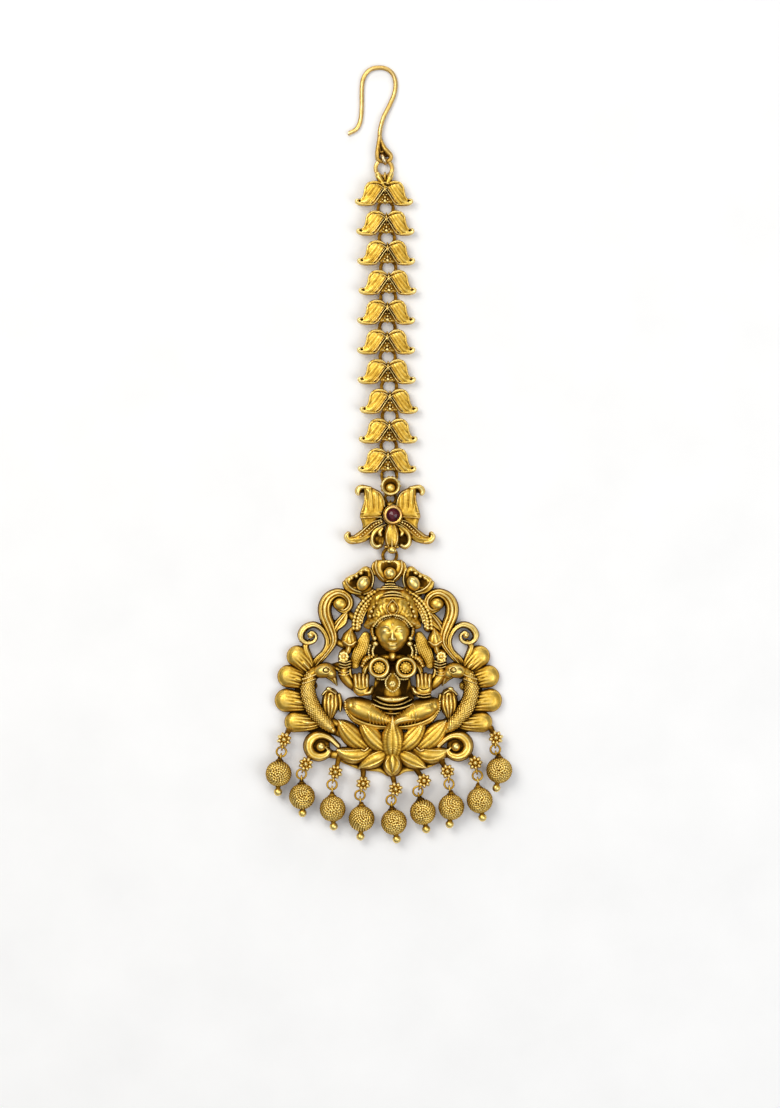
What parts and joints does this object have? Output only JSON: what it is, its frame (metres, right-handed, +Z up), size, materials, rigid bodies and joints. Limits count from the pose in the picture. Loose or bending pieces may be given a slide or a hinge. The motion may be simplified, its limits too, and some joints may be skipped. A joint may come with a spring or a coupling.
{
  "type": "maang tikka",
  "caption": "Temple-style maang tikka: hair hook, chain of leaf links, small lotus connector with a red stone, and a seated goddess pendant fringed with bead drops.",
  "frame": {"origin": "on the table under the middle of the piece as it lies face up: the middle of its box in X and Y, and its lowest point in Z", "axes": "+X to the right of the pendant as it is seen from the front, +Y along the chain toward the hair hook, +Z up from the table, out of the pendant's front"},
  "size_m": [0.0444, 0.1396, 0.0059],
  "materials": {
    "antique_gold": "antique matte gold plating, dark in the recesses",
    "red_stone": "polished dark red stone"
  },
  "bodies": {
    "root": {"hook": "antique_gold", "hook_ring": "antique_gold", "link_01": "antique_gold", "link_02": "antique_gold", "link_03": "antique_gold", "link_04": "antique_gold", "link_05": "antique_gold", "link_06": "antique_gold", "link_07": "antique_gold", "link_08": "antique_gold", "link_09": "antique_gold", "link_10": "antique_gold", "link_ring_01": "antique_gold", "link_ring_02": "antique_gold", "link_ring_03": "antique_gold", "link_ring_04": "antique_gold", "link_ring_05": "antique_gold", "link_ring_06": "antique_gold", "link_ring_07": "antique_gold", "link_ring_08": "antique_gold", "link_ring_09": "antique_gold", "link_ring_10": "antique_gold", "cup_link": "antique_gold", "cup_ring": "antique_gold", "lotus_connector": "antique_gold", "stone": "red_stone", "pendant_ring": "antique_gold", "pendant": "antique_gold", "drop_ring_1": "antique_gold", "drop_ring_2": "antique_gold", "drop_ring_3": "antique_gold", "drop_ring_4": "antique_gold", "drop_ring_5": "antique_gold", "drop_ring_6": "antique_gold", "drop_ring_7": "antique_gold", "drop_ring_8": "antique_gold", "drop_ring_9": "antique_gold", "bead_1": "antique_gold", "bead_2": "antique_gold", "bead_3": "antique_gold", "bead_4": "antique_gold", "bead_5": "antique_gold", "bead_6": "antique_gold", "bead_7": "antique_gold", "bead_8": "antique_gold", "bead_9": "antique_gold"}
  },
  "joints": []
}
